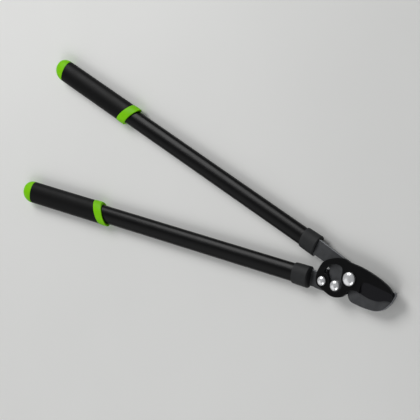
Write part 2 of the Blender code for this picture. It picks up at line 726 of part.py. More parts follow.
bush_outer = PIVOT_SHANK + GAP + BUSH_WALL
pivot_washer_low = HOOK_BASE - GAP - PIVOT_WASHER_THICK
pivot_nut_high = pivot_washer_low - GAP
domed_bolt("pivot_bolt", pivot, PIVOT_SHANK, PIVOT_HEAD, PIVOT_HEAD_HEIGHT,
           BLADE_TOP, 0.0, chrome, frame_axis)
washer("pivot_washer", pivot, PIVOT_SHANK + GAP, PIVOT_SHANK + WASHER_RIM,
       pivot_washer_low, HOOK_BASE - GAP, zinc, frame_axis)
nut("pivot_nut", pivot, PIVOT_SHANK + GAP, PIVOT_NUT,
    pivot_nut_high - PIVOT_NUT_HEIGHT, pivot_nut_high, zinc, frame_axis)

thin_washer_high = LEVER_BASE - GAP
thin_washer_low = thin_washer_high - WASHER_THICK
thin_nut_high = thin_washer_low - GAP
thin_nut_low = thin_nut_high - THIN_NUT_HEIGHT
domed_bolt("fulcrum_bolt", FULCRUM, FULCRUM_SHANK, FULCRUM_HEAD, FULCRUM_HEAD_HEIGHT,
           HOOK_TOP, thin_nut_low - BOLT_PROUD, chrome, frame_axis)
washer("fulcrum_spacer", FULCRUM, FULCRUM_SHANK + GAP, FULCRUM_SHANK + SPACER_RIM,
       LEVER_TOP + GAP, HOOK_BASE - GAP, MATERIALS["nylon"], frame_axis)
washer("fulcrum_washer", FULCRUM, FULCRUM_SHANK + GAP, FULCRUM_SHANK + WASHER_RIM,
       thin_washer_low, thin_washer_high, zinc, frame_axis)
nut("fulcrum_nut", FULCRUM, FULCRUM_SHANK + GAP, FULCRUM_NUT,
    thin_nut_low, thin_nut_high, zinc, frame_axis)
build_arm("upper", 1, upper_arm)

# the blade turns on the pivot and carries the drive pin
blade = plate("cutting_blade", [
    blade_outline(),
    circle(pivot, bush_outer + GAP),
    circle(DRIVE, DRIVE_SHANK + GAP),
    window_outline(),
], BLADE_BASE, BLADE_TOP, MATERIALS["blade"], blade_axis)
cut(blade, grind_cutter(), "grind")
washer("pivot_bush", pivot, PIVOT_SHANK + GAP, bush_outer,
       BLADE_BASE, BLADE_TOP, MATERIALS["bronze"], blade_axis)
domed_bolt("drive_bolt", DRIVE, DRIVE_SHANK, DRIVE_HEAD, DRIVE_HEAD_HEIGHT,
           BLADE_TOP, thin_nut_low - BOLT_PROUD, chrome, blade_axis)
washer("drive_sleeve", DRIVE, DRIVE_SHANK + GAP, DRIVE_SHANK + GAP + BUSH_WALL,
       LEVER_BASE, HOOK_TOP, MATERIALS["bronze"], blade_axis)
washer("drive_washer", DRIVE, DRIVE_SHANK + GAP, DRIVE_SHANK + DRIVE_WASHER_RIM,
       thin_washer_low, thin_washer_high, zinc, blade_axis)
nut("drive_nut", DRIVE, DRIVE_SHANK + GAP, DRIVE_NUT,
    thin_nut_low, thin_nut_high, zinc, blade_axis)

# the lower handle turns on the fulcrum bolt
lever_bush = FULCRUM_SHANK + GAP + BUSH_WALL
plate("lower_lever", [
    shifted(lever_outline(), FULCRUM),
    circle((0, 0), lever_bush + GAP),
    shifted(slot_outline(), FULCRUM),
], LEVER_BASE, LEVER_TOP, steel, handle_axis)
washer("fulcrum_bush", (0, 0), FULCRUM_SHANK + GAP, lever_bush,
       LEVER_BASE, LEVER_TOP, MATERIALS["bronze"], handle_axis)
build_arm("lower", -1, lower_arm)
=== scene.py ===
import math

import bmesh
import bpy
from mathutils import Matrix, Vector


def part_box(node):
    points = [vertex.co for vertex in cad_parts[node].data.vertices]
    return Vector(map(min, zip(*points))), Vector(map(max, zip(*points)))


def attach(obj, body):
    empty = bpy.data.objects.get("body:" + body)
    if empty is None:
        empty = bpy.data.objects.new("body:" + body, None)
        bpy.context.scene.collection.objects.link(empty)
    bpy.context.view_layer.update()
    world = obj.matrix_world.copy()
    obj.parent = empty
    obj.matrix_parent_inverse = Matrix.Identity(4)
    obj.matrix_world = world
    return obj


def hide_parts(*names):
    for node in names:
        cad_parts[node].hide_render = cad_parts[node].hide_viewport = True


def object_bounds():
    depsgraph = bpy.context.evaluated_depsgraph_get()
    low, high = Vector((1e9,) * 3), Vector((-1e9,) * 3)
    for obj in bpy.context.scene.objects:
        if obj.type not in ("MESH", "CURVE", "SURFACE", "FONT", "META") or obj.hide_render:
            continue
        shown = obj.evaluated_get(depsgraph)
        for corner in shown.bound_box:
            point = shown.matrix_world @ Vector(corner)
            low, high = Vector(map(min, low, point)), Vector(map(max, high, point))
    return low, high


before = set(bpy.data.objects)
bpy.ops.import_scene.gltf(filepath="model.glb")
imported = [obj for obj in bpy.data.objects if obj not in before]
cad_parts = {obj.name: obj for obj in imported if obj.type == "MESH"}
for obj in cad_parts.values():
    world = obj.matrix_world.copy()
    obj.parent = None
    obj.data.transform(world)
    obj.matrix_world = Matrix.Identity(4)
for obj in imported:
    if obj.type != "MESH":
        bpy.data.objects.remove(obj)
cadLow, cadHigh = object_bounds()
print("frame loaded:", len(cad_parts), "solids")


def linearColour(hexText):
    values = [int(hexText[k:k + 2], 16) / 255 for k in (1, 3, 5)]
    return [v / 12.92 if v <= 0.04045 else ((v + 0.055) / 1.055) ** 2.4 for v in values] + [1.0]


def addNode(tree, kind, sockets=None, **settings):
    node = tree.nodes.new(kind)
    for name, value in settings.items():
        setattr(node, name, value)
    for key, value in (sockets or {}).items():
        if isinstance(value, bpy.types.Node):
            value = next(s for s in value.outputs if s.enabled)
        if isinstance(value, bpy.types.NodeSocket):
            tree.links.new(value, node.inputs[key])
        else:
            node.inputs[key].default_value = value
    return node


# A finish is two close colours, two roughnesses and a relief, spread by noise of real sizes in metres.
def makeFinish(name, look, marks=None):
    mat = bpy.data.materials.new(name)
    mat.use_nodes = True
    tree = mat.node_tree
    tree.nodes.clear()
    surface = addNode(tree, "ShaderNodeBsdfPrincipled")
    addNode(tree, "ShaderNodeOutputMaterial", {"Surface": surface.outputs["BSDF"]})
    for socket, value in look["shader"].items():
        surface.inputs[socket].default_value = value
    place = addNode(tree, "ShaderNodeTexCoord")
    run = addNode(tree, "ShaderNodeMapping", {
        "Vector": place.outputs["Object"], "Scale": look.get("stretch", (1.0, 1.0, 1.0))})
    cloud = addNode(tree, "ShaderNodeTexNoise", {
        "Vector": place.outputs["Object"], "Scale": 1 / look["patch"], "Detail": 4.0})
    grain = addNode(tree, "ShaderNodeTexNoise", {
        "Vector": run, "Scale": 1 / look["grain"], "Detail": 3.0, "Roughness": 0.6})
    shade = addNode(tree, "ShaderNodeMapRange", {
        "Value": cloud.outputs[0], "From Min": 0.3, "From Max": 0.7})
    colour = addNode(tree, "ShaderNodeMix", {
        "Factor": shade, 6: linearColour(look["colours"][0]), 7: linearColour(look["colours"][1])},
        data_type="RGBA")
    colourOut = colour.outputs[2]
    smear = addNode(tree, "ShaderNodeMath", {0: grain.outputs[0], 1: cloud.outputs[0]}, operation="ADD")
    roughness = addNode(tree, "ShaderNodeMapRange", {
        "Value": smear, "From Min": 0.7, "From Max": 1.3,
        "To Min": look["rough"][0], "To Max": look["rough"][1]})
    roughOut = roughness.outputs[0]
    for mark in marks or []:   # rims and ground faces carry their own colour and roughness
        where = addNode(tree, "ShaderNodeAttribute", attribute_name=mark["attribute"])
        patchy = addNode(tree, "ShaderNodeMapRange", {
            "Value": grain.outputs[0], "From Min": 0.3, "From Max": 0.6,
            "To Min": mark["least"], "To Max": 1.0})
        share = addNode(tree, "ShaderNodeMath", {
            0: where.outputs["Fac"], 1: patchy}, operation="MULTIPLY")
        colourOut = addNode(tree, "ShaderNodeMix", {
            "Factor": share, 6: colourOut, 7: linearColour(mark["colour"])},
            data_type="RGBA").outputs[2]
        roughOut = addNode(tree, "ShaderNodeMix", {
            "Factor": share, 2: roughOut, 3: mark["rough"]}, data_type="FLOAT").outputs[0]
    tree.links.new(colourOut, surface.inputs["Base Color"])
    tree.links.new(roughOut, surface.inputs["Roughness"])
    relief = addNode(tree, "ShaderNodeBump", {
        "Height": grain.outputs[0], "Strength": look["relief"][0], "Distance": look["relief"][1]})
    tree.links.new(relief.outputs[0], surface.inputs["Normal"])
    return mat


# A flat grey painted on every wall and bevel face: on the dark steel plates it is partly bare sheared steel
# and partly a painted highlight along the edges; on the zinc it makes the walls darker than the faces.
rimMark = {"attribute": "rim", "colour": "#7b7d81", "rough": 0.40, "least": 0.45}
finishes = {
    # stamped steel, tumbled and darkened: a dull grey, its edges painted bright, partly the bare sheared
    # steel and partly a painted highlight
    "plateSteel": makeFinish("darkenedTumbledSteel", {
        "shader": {"Metallic": 0.5}, "colours": ("#3b3c3e", "#48494b"), "patch": 0.009,
        "grain": 0.0009, "stretch": (0.35, 1.0, 1.0), "rough": (0.40, 0.52), "relief": (0.25, 0.00004)},
        [rimMark]),
    # tool steel with a non-stick coat: soft black, paler where it is ground; its walls and bevels a paler
    # black, a painted highlight
    "bladeCoat": makeFinish("nonStickCoatedSteel", {
        "shader": {"Metallic": 0.0, "IOR": 1.45, "Specular IOR Level": 0.12},
        "colours": ("#040405", "#070708"), "patch": 0.011,
        "grain": 0.0007, "rough": (0.44, 0.54), "relief": (0.22, 0.00003)},
        [{"attribute": "ground", "colour": "#17171a", "rough": 0.42, "least": 0.8},
         {"attribute": "rim", "colour": "#222325", "rough": 0.40, "least": 0.4}]),
    # plated and polished bolt heads with hair scratches: only partly metallic, so their near-white diffuse
    # share is a painted reflection of the bright studio
    "polishedPlate": makeFinish("polishedNickelPlate", {
        "shader": {"Metallic": 0.6}, "colours": ("#e9e9eb", "#f1f1f2"), "patch": 0.004,
        "grain": 0.0003, "stretch": (1.0, 0.12, 1.0), "rough": (0.16, 0.24), "relief": (0.05, 0.00001)}),
    # bright zinc on nuts and washers: silvery with a faint cloud
    "zincPlate": makeFinish("brightZincPlate", {
        "shader": {"Metallic": 1.0}, "colours": ("#9fa2a6", "#b7babd"), "patch": 0.003,
        "grain": 0.0005, "rough": (0.26, 0.42), "relief": (0.12, 0.00002)}, [rimMark]),
    # oil-filled sintered bronze: warm and fine-pored
    "bushBronze": makeFinish("sinteredBronze", {
        "shader": {"Metallic": 1.0}, "colours": ("#8a6a3c", "#9d7b48"), "patch": 0.002,
        "grain": 0.0003, "rough": (0.35, 0.5), "relief": (0.4, 0.00004)}),
    # black powder coat baked on the tubes: deep satin black with a soft orange peel
    "tubeEnamel": makeFinish("blackPowderCoat", {
        "shader": {"Metallic": 0.0, "IOR": 1.5, "Specular IOR Level": 0.16},
        "colours": ("#040405", "#070707"), "patch": 0.02,
        "grain": 0.0016, "rough": (0.28, 0.34), "relief": (0.18, 0.00005)}),
    # moulded thermoplastic rubber: near black, with a fine spark-eroded grain
    "gripRubber": makeFinish("charcoalThermoplasticRubber", {
        "shader": {"Metallic": 0.0, "IOR": 1.5, "Specular IOR Level": 0.14},
        "colours": ("#050506", "#080808"), "patch": 0.014,
        "grain": 0.0008, "rough": (0.42, 0.52), "relief": (0.45, 0.00009)}),
    # the same rubber in lime: a clean saturated green
    "limeRubber": makeFinish("limeThermoplasticRubber", {
        "shader": {"Metallic": 0.0, "IOR": 1.5, "Specular IOR Level": 0.14},
        "colours": ("#73c000", "#7cca01"), "patch": 0.012,
        "grain": 0.0008, "rough": (0.42, 0.52), "relief": (0.3, 0.00006)}),
    # glass-filled nylon: dark grey with a flowed, slightly mottled skin
    "collarNylon": makeFinish("glassFilledNylon", {
        "shader": {"Metallic": 0.0, "IOR": 1.53, "Specular IOR Level": 0.25},
        "colours": ("#1e1f20", "#252627"), "patch": 0.006,
        "grain": 0.0006, "rough": (0.55, 0.66), "relief": (0.4, 0.00006)}),
    # unpigmented nylon inside the tubes: waxy off-white
    "plugNylon": makeFinish("naturalNylon", {
        "shader": {"Metallic": 0.0, "IOR": 1.53}, "colours": ("#c9c2b0", "#d5cfbe"), "patch": 0.008,
        "grain": 0.0008, "rough": (0.45, 0.55), "relief": (0.3, 0.00006)}),
    # black nylon spacer between the two steel plates
    "spacerNylon": makeFinish("blackNylon", {
        "shader": {"Metallic": 0.0, "IOR": 1.53}, "colours": ("#141415", "#1b1b1c"), "patch": 0.004,
        "grain": 0.0005, "rough": (0.45, 0.55), "relief": (0.3, 0.00005)}),
}
print("materials:", len(finishes))

# Sizes are in millimetres up to finishPiece, which scales each mesh to metres.
def levels(node):
    return tuple(corner.z * 1000 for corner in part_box(node))


# Places in the head are measured from the pivot bolt; bosses and shanks are radii.
head = {
    "hook": levels("hook_plate"), "blade": levels("cutting_blade"), "lever": levels("lower_lever"),
    "fulcrum": Vector((-18.5, -17.2)), "drive": Vector((-39.9, -19.0)),
    "bladeReach": 69.4, "spine": 21.4, "edgeDepth": 13.4, "hookLead": 1.2, "hookDepth": 29.0,
    "overlap": 3.0,          # the closed edge passes the hook's edge by this
    "grindTop": 6.2, "grindStart": 19.5, "edgeThick": 0.8,
    "pivotShank": 5.0, "fulcrumShank": 4.0, "driveShank": 3.2, "gap": 0.3, "bushWall": 1.7,
    "hookBoss": 10.5, "leverBoss": 10.3,
    "pivotBoss": 13.8, "driveBoss": 11.33, "windowWidth": 27.6, "windowRise": 12.9,
    "windowRest": 8.1, "windowFoot": 8.6,
    "ratio": 0.4545, "travel": 80.0,
    "tangWidth": 22.2, "tangDepth": 62.0, "upperNeck": 4.077, "lowerNeck": 5.534,
    "rim": 0.4,              # rounding left on a tumbled edge
    "ridge": 0.52,           # a thread ridge's radius, as a share of its pitch
}
# Stations run out along each arm from where the two arms' lines cross; wide and thick are half sizes.
arms = {
    "crossing": Vector((84.4, -3.2)), "turn": math.radians(8.2), "axis": 11.2, "advance": 2.8,
    "collarNear": 154.1, "collarLength": 25.0, "shoulder": 2.0, "collarWall": 2.0, "noseRound": 2.0,
    "tubeNear": 158.1, "ringNear": 532.2, "ringLength": 15.5, "gripFar": 681.9, "capLength": 21.0,
    "tubeWide": 12.8, "tubeThick": 7.8, "tubeWall": 1.2, "gap": head["gap"], "lean": 0.53,
    "ringWide": 17.0, "ringThick": 10.2, "gripWide": 16.2, "gripThick": 9.6,
    "capRim": 1.5, "spigot": 16.0,
}


def bowThrough(points, steps=12):
    pts = [Vector(p) for p in points]
    pts = [2 * pts[0] - pts[1], *pts, 2 * pts[-1] - pts[-2]]
    found = []
    for a, b, c, d in zip(pts, pts[1:], pts[2:], pts[3:]):
        for k in range(steps):
            t = k / steps
            found.append(0.5 * (2 * b + (c - a) * t + (2 * a - 5 * b + 4 * c - d) * t * t
                                + (3 * b - a - 3 * c + d) * t ** 3))
    return [tuple(p) for p in found + [pts[-2]]]


def arcAround(centre, radius, start, end, steps):
    return [(centre[0] + radius * math.cos(start + (end - start) * k / steps),
             centre[1] + radius * math.sin(start + (end - start) * k / steps))
            for k in range(steps + 1)]


def roundLoop(centre, radius, sides=96):
    return arcAround(centre, radius, 0.0, 2 * math.pi, sides)[:-1]


def armPoint(side, station, across):
    along = Vector((-math.cos(arms["turn"]), side * math.sin(arms["turn"])))
    outward = Vector((side * math.sin(arms["turn"]), math.cos(arms["turn"])))
    if side < 0:
        station = station - arms["advance"]
    point = arms["crossing"] + along * station + outward * across
    return (point.x, point.y)


def armPlace(side):
    start = armPoint(side, 0.0, 0.0)
    turn = math.pi - side * arms["turn"]
    return Matrix.Translation((*start, arms["axis"])) @ Matrix.Rotation(turn, 4, "Z")


def cleanMesh(bm, name):
    bmesh.ops.remove_doubles(bm, verts=bm.verts, dist=0.002)
    bmesh.ops.recalc_face_normals(bm, faces=bm.faces)
    mesh = bpy.data.meshes.new(name)
    bm.to_mesh(mesh)
    bm.free()
    return mesh


# A stamped plate: a filled 2D curve, its edges rounded by the curve's own bevel.
def plateMesh(name, loops, low, high, rim=0.0):
    curve = bpy.data.curves.new(name, "CURVE")
    curve.dimensions = "2D"
    curve.fill_mode = "BOTH"
    curve.extrude = (high - low) / 2 - rim
    curve.bevel_depth = rim
    curve.bevel_resolution = 1
    curve.offset = -rim
    for loop in loops:
        spline = curve.splines.new("POLY")
        spline.points.add(len(loop) - 1)
        for point, (x, y) in zip(spline.points, loop):
            point.co = (x, y, 0.0, 1.0)
        spline.use_cyclic_u = True
    obj = bpy.data.objects.new(name, curve)
    bpy.context.scene.collection.objects.link(obj)
    mesh = bpy.data.meshes.new_from_object(obj.evaluated_get(bpy.context.evaluated_depsgraph_get()))
    bpy.data.objects.remove(obj)
    bpy.data.curves.remove(curve)
    bm = bmesh.new()
    bm.from_mesh(mesh)
    bmesh.ops.translate(bm, vec=(0, 0, (low + high) / 2), verts=bm.verts)
    return cleanMesh(bm, name)


def latheMesh(name, profile, sides=96):
    bm = bmesh.new()
    rings = []
    for radius, height in profile:
        if radius < 0.001:
            rings.append([bm.verts.new((0, 0, height))] * sides)
        else:
            rings.append([bm.verts.new((radius * math.cos(2 * math.pi * k / sides),
                                        radius * math.sin(2 * math.pi * k / sides), height))
                          for k in range(sides)])
    for upper, lower in zip(rings, rings[1:]):
        for k in range(sides):
            corners = list(dict.fromkeys((upper[k - 1], upper[k], lower[k], lower[k - 1])))
            if len(corners) > 2:
                bm.faces.new(corners)
    return cleanMesh(bm, name)


# A loft through ovals of (station, half width, half thickness), closed at both ends.
def ovalLoft(name, stations, sides=112):
    bm = bmesh.new()
    rings = []
    for station, wide, thick in stations:
        rings.append([bm.verts.new((station, wide * math.cos(2 * math.pi * k / sides),
                                    thick * math.sin(2 * math.pi * k / sides)))
                      for k in range(sides)])
    for near, far in zip(rings, rings[1:]):
        for k in range(sides):
            bm.faces.new((near[k], near[k - 1], far[k - 1], far[k]))
    bm.faces.new(rings[0])
    bm.faces.new(rings[-1])
    return cleanMesh(bm, name)


def combine(mesh, other, operation):
    base = bpy.data.objects.new(mesh.name, mesh)
    tool = bpy.data.objects.new(mesh.name + "Tool", other)
    for obj in (base, tool):
        bpy.context.scene.collection.objects.link(obj)
    boolean = base.modifiers.new("shape", "BOOLEAN")
    boolean.operation = operation
    boolean.solver = "EXACT"
    boolean.object = tool
    result = bpy.data.meshes.new_from_object(base.evaluated_get(bpy.context.evaluated_depsgraph_get()))
    for obj in (base, tool):
        bpy.data.objects.remove(obj)
    return result


# rim marks the faces that aren't level, ground those of the sloping grind
def markFaces(mesh):
    steep, flat = 0.95, 0.9995
    rim = mesh.attributes.new("rim", "FLOAT", "FACE")
    ground = mesh.attributes.new("ground", "FLOAT", "FACE")
    for face in mesh.polygons:
        rise = face.normal.z
        ground.data[face.index].value = 1.0 if steep < rise < flat else 0.0
        rim.data[face.index].value = 1.0 if abs(rise) < steep else 0.0


def finishPiece(name, mesh, finish, body, standsFor, place=Matrix(), crease=30.0):
    mesh.name = name
    mesh.transform(place)
    markFaces(mesh)
    mesh.transform(Matrix.Scale(0.001, 4))
    mesh.materials.clear()
    mesh.materials.append(finishes[finish])
    mesh.shade_smooth()
    mesh.set_sharp_from_angle(angle=math.radians(crease))
    obj = bpy.data.objects.new(name, mesh)
    bpy.context.scene.collection.objects.link(obj)
    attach(obj, body)
    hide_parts(*standsFor)


def tangLoop(side):
    near = arms["collarNear"] - head["gap"]
    far = near + head["tangDepth"]
    half = head["tangWidth"] / 2
    neck = head["upperNeck"] if side > 0 else head["lowerNeck"]
    return [armPoint(side, near, half), armPoint(side, near, neck), armPoint(side, far, neck),
            armPoint(side, far, -neck), armPoint(side, near, -neck), armPoint(side, near, -half)]


def makeHook():
    reach = head["bladeReach"] + head["hookLead"]
    depth, edge = head["hookDepth"], head["overlap"] - head["edgeDepth"]
    shank, boss, centre = head["pivotShank"], head["hookBoss"], head["fulcrum"]
    swing = math.atan2(centre.y, centre.x)
    inner = bowThrough([
        (reach - 4.6, 8.4), (0.87 * reach, 0.5), (0.75 * reach, 0.55 * edge), (0.55 * reach, edge),
        (0.36 * reach, 0.85 * edge), (shank + 13.0, 0.15 * edge), (shank + 10.5, 8.5),
        (6.0, shank + 12.0), (-9.0, head["spine"] - 2.2)])
    belly = bowThrough([
        armPoint(1, arms["collarNear"] - 20.8, -head["tangWidth"] / 2), (-43.5, 2.8), (-39.2, 1.1),
        (-36.4, -1.8), (-35.2, -6.2), (-32.0, -11.0), (centre.x - boss, centre.y + 1.5)])
    bossEdge = arcAround(centre, boss, math.pi, swing + 2 * math.pi + math.radians(60), 40)
    lobe = bowThrough([
        (1.0, -19.4), (2.6, -23.2), (8.7, -28.3), (0.28 * reach, -depth), (0.50 * reach, -0.965 * depth),
        (0.71 * reach, -0.86 * depth), (0.86 * reach, -0.62 * depth), (0.965 * reach, -0.20 * depth),
        (reach, 4.0)])
    tip = arcAround((reach - 2.3, 6.6), 2.4, math.radians(10), math.radians(125), 16)
    outline = inner + tangLoop(1) + belly + bossEdge[1:] + lobe + tip
    holes = [roundLoop((0, 0), shank + head["gap"]), roundLoop(centre, head["fulcrumShank"] + head["gap"])]
    mesh = plateMesh("hookPlate", [outline, *holes], *head["hook"], rim=head["rim"])
    finishPiece("hookPlate", mesh, "plateSteel", "upper_handle",
                ["hook_plate"], crease=14.0)


def windowLoop():
    centre, pin = head["fulcrum"], head["drive"]
    near, boss = head["pivotBoss"], head["driveBoss"]
    wide, rise = head["windowWidth"], head["windowRise"]
    start = math.atan2(centre.y, centre.x) % (2 * math.pi)
    pinAt = math.atan2(pin.y, pin.x) % (2 * math.pi)
    spare = math.radians(1.0)   # the window runs this far past the blade's travel
    end = start - head["ratio"] * math.radians(head["travel"]) - spare
    inner = arcAround((0, 0), near, end, start, 40)
    lowOuter = centre.length + head["windowRest"]
    bottom, outer, crown = [], [], []
    bottomSteps, outerSteps = 48, 56
    for k in range(bottomSteps + 1):
        turn = math.pi - math.pi * k / bottomSteps
        radial = (lowOuter + near) / 2 + (lowOuter - near) / 2 * math.cos(turn)
        back = head["windowFoot"] * math.sin(turn)
        bottom.append((radial * math.cos(start) - back * math.sin(start),
                       radial * math.sin(start) + back * math.cos(start)))
    for k in range(1, outerSteps):
        angle = start + (end - start) * k / outerSteps
        off = angle - pinAt
        limit = lowOuter if off > 0 else near + wide
        sideways = pin.length * math.sin(off)
        if abs(sideways) < boss:
            limit = min(limit, pin.length * math.cos(off) - math.sqrt(boss ** 2 - sideways ** 2))
        outer.append((limit * math.cos(angle), limit * math.sin(angle)))
    for across, along in bowThrough([
            (1.0, 0.0), (0.967, 0.20), (0.862, 0.535), (0.652, 0.845), (0.417, 0.977), (0.196, 0.969),
            (0.054, 0.79), (0.0, 0.42), (0.0, 0.0)]):
        radial = near + across * wide
        ahead = along * rise
        crown.append((radial * math.cos(end) + ahead * math.sin(end),
                      radial * math.sin(end) - ahead * math.cos(end)))
    return inner[1:-1] + bottom + outer + crown


def makeBlade():
    reach, spine, edge = head["bladeReach"], head["spine"], head["edgeDepth"]
    pin = head["drive"]
    back = bowThrough([
        (reach - 0.4, 3.5), (0.945 * reach, 9.8), (0.80 * reach, 0.69 * spine),
        (0.53 * reach, 0.89 * spine), (0.19 * reach, spine), (-0.09 * reach, 0.975 * spine),
        (-18.6, 22.0), (-33.5, 16.5), (pin.x - 6.8, pin.y + 25.2), (pin.x - 11.4, pin.y + 12.5),
        (pin.x - 11.2, pin.y + 0.5), (pin.x - 6.5, pin.y - 7.5), (-32.5, -30.6), (-18.6, -32.7),
        (-6.0, -28.7), (1.6, -21.0)])
    heel = bowThrough([(2.2, -17.6), (6.8, -13.6), (0.22 * reach, -0.81 * edge)])
    keen = bowThrough([
        (0.235 * reach, -0.82 * edge), (0.34 * reach, -0.93 * edge), (0.50 * reach, -edge),
        (0.69 * reach, -0.86 * edge), (0.86 * reach, -0.47 * edge), (0.95 * reach, -0.33 * edge),
        (0.99 * reach, -0.36 * edge)])
    bore = head["pivotShank"] + 2 * head["gap"] + head["bushWall"]
    holes = [roundLoop((0, 0), bore), roundLoop(pin, head["driveShank"] + head["gap"]), windowLoop()]
    low, high = head["blade"]
    mesh = plateMesh("cuttingBlade", [back + heel + keen, *holes], low, high, rim=head["rim"])
    # the grind is a wedge laid over the edge's side of the blade
    start, top = head["grindStart"], head["grindTop"]
    far, below = reach + 10.0, -edge - 12.0
    wedge = bowThrough([
        (far, top), (0.62 * reach, top), (start + 5.0, top - 1.0), (start, top - 6.0),
        (start - 0.5, -4.0), (start + 0.5, -9.0)]) + [(start + 0.5, below), (far, below)]
    cutterDepth = 12.0
    cutter = plateMesh("grind", [wedge], 0.0, cutterDepth)
    slope = math.atan2(high - low - head["edgeThick"], top + edge)
    cutter.transform(Matrix.Translation((0, top, high)) @ Matrix.Rotation(slope, 4, "X")
                     @ Matrix.Translation((0, -top, 0)))
    mesh = combine(mesh, cutter, "DIFFERENCE")
    finishPiece("cuttingBlade", mesh, "bladeCoat", "blade",
                ["cutting_blade"], crease=14.0)


def slotLoop():
    centre, pin = head["fulcrum"], head["drive"]
    path = []
    steps = 32
    for k in range(steps + 1):
        handle = math.radians(head["travel"]) * k / steps
        here = Matrix.Rotation(head["ratio"] * handle, 2) @ pin
        path.append(Matrix.Rotation(-handle, 2) @ (here - centre))
    outward = (pin - centre).normalized()
    sideways = Vector((-outward.y, outward.x))
    along = [p.dot(outward) for p in path]
    off = [p.dot(sideways) for p in path]
    radius = head["driveShank"] + 2 * head["gap"] + head["bushWall"] + (max(off) - min(off)) / 2
    middle = sideways * (max(off) + min(off)) / 2
    turn = math.atan2(outward.y, outward.x)
    far, near = centre + outward * max(along) + middle, centre + outward * min(along) + middle
    return (arcAround(far, radius, turn - math.pi / 2, turn + math.pi / 2, steps)
            + arcAround(near, radius, turn + math.pi / 2, turn + 3 * math.pi / 2, steps))


def makeLever():
    boss, centre = head["leverBoss"], head["fulcrum"]
    top = bowThrough([
        (centre.x - 2.0, centre.y + boss), (-28.5, -4.2), (-36.0, -2.4), (-42.0, -3.2), (-48.0, -5.4),
        (-53.0, -9.2), (-57.5, -13.4)])
    bottom = bowThrough([
        armPoint(-1, arms["collarNear"] - 7.8, -head["tangWidth"] / 2), (-52.0, -35.0), (-40.0, -33.8),
        (-29.0, -31.0), (centre.x - 3.0, centre.y - boss)])
    end = arcAround(centre, boss, math.radians(-95), math.radians(95), 48)
    bore = roundLoop(centre, head["fulcrumShank"] + 2 * head["gap"] + head["bushWall"])
    mesh = plateMesh("lowerLever", [top + tangLoop(-1) + bottom + end, bore, slotLoop()],
                     *head["lever"], rim=head["rim"])
    finishPiece("lowerLever", mesh, "plateSteel", "lower_handle",
                ["lower_lever"], crease=14.0)


makeHook()
makeBlade()
makeLever()
print("plates made")

# A bolt's place, shank and head radius, head and dome height, seat, lower end, threaded length and pitch.
bolts = {
    "pivot": {"at": Vector((0.0, 0.0)), "shank": head["pivotShank"], "head": 9.2, "height": 4.6,
              "dome": 2.8, "seat": head["blade"][1], "end": 0.0, "thread": 9.6, "pitch": 0.9,
              "body": "upper_handle"},
    "fulcrum": {"at": head["fulcrum"], "shank": head["fulcrumShank"], "head": 7.1, "height": 7.4,
                "dome": 2.8, "seat": head["hook"][1], "end": 0.3, "thread": 4.4, "pitch": 0.8,
                "body": "upper_handle"},
    "drive": {"at": head["drive"], "shank": head["driveShank"], "head": 6.35, "height": 3.8,
              "dome": 2.8, "seat": head["blade"][1], "end": 0.3, "thread": 4.4, "pitch": 0.7,
              "body": "blade"},
}
boltShape = {
    "rimRound": 0.5,         # rounding under the head's rim
    "runOut": 0.4,           # the thread fades into the plain shank over this
    "chamfer": 0.25,         # at the lower end
    "bare": 0.8,             # of the threaded length, left without a ridge
}


# The turns of a thread: one ring of ridge repeated up the bolt at its pitch.
def threadTree():
    tree = bpy.data.node_groups.new("boltThread", "GeometryNodeTree")
    for name, kind in (("Radius", "NodeSocketFloat"), ("Pitch", "NodeSocketFloat"),
                       ("Turns", "NodeSocketInt"), ("Material", "NodeSocketMaterial")):
        tree.interface.new_socket(name=name, in_out="INPUT", socket_type=kind)
    tree.interface.new_socket(name="Geometry", in_out="OUTPUT", socket_type="NodeSocketGeometry")
    given = addNode(tree, "NodeGroupInput")
    rise = addNode(tree, "ShaderNodeCombineXYZ", {"Z": given.outputs["Pitch"]})
    line = addNode(tree, "GeometryNodeMeshLine", {
        "Count": given.outputs["Turns"], "Offset": rise})
    ring = addNode(tree, "GeometryNodeCurvePrimitiveCircle", {
        "Resolution": 72, "Radius": given.outputs["Radius"]})
    ridgeSize = addNode(tree, "ShaderNodeMath", {
        0: given.outputs["Pitch"], 1: head["ridge"]}, operation="MULTIPLY")
    ridge = addNode(tree, "GeometryNodeCurvePrimitiveCircle", {"Resolution": 6, "Radius": ridgeSize})
    turnOfThread = addNode(tree, "GeometryNodeCurveToMesh", {
        "Curve": ring.outputs["Curve"], "Profile Curve": ridge.outputs["Curve"]})
    repeated = addNode(tree, "GeometryNodeInstanceOnPoints", {
        "Points": line.outputs["Mesh"], "Instance": turnOfThread.outputs["Mesh"]})
    real = addNode(tree, "GeometryNodeRealizeInstances", {"Geometry": repeated.outputs["Instances"]})
    coloured = addNode(tree, "GeometryNodeSetMaterial", {
        "Geometry": real.outputs["Geometry"], "Material": given.outputs["Material"]})
    addNode(tree, "NodeGroupOutput", {"Geometry": coloured.outputs["Geometry"]})
    return tree


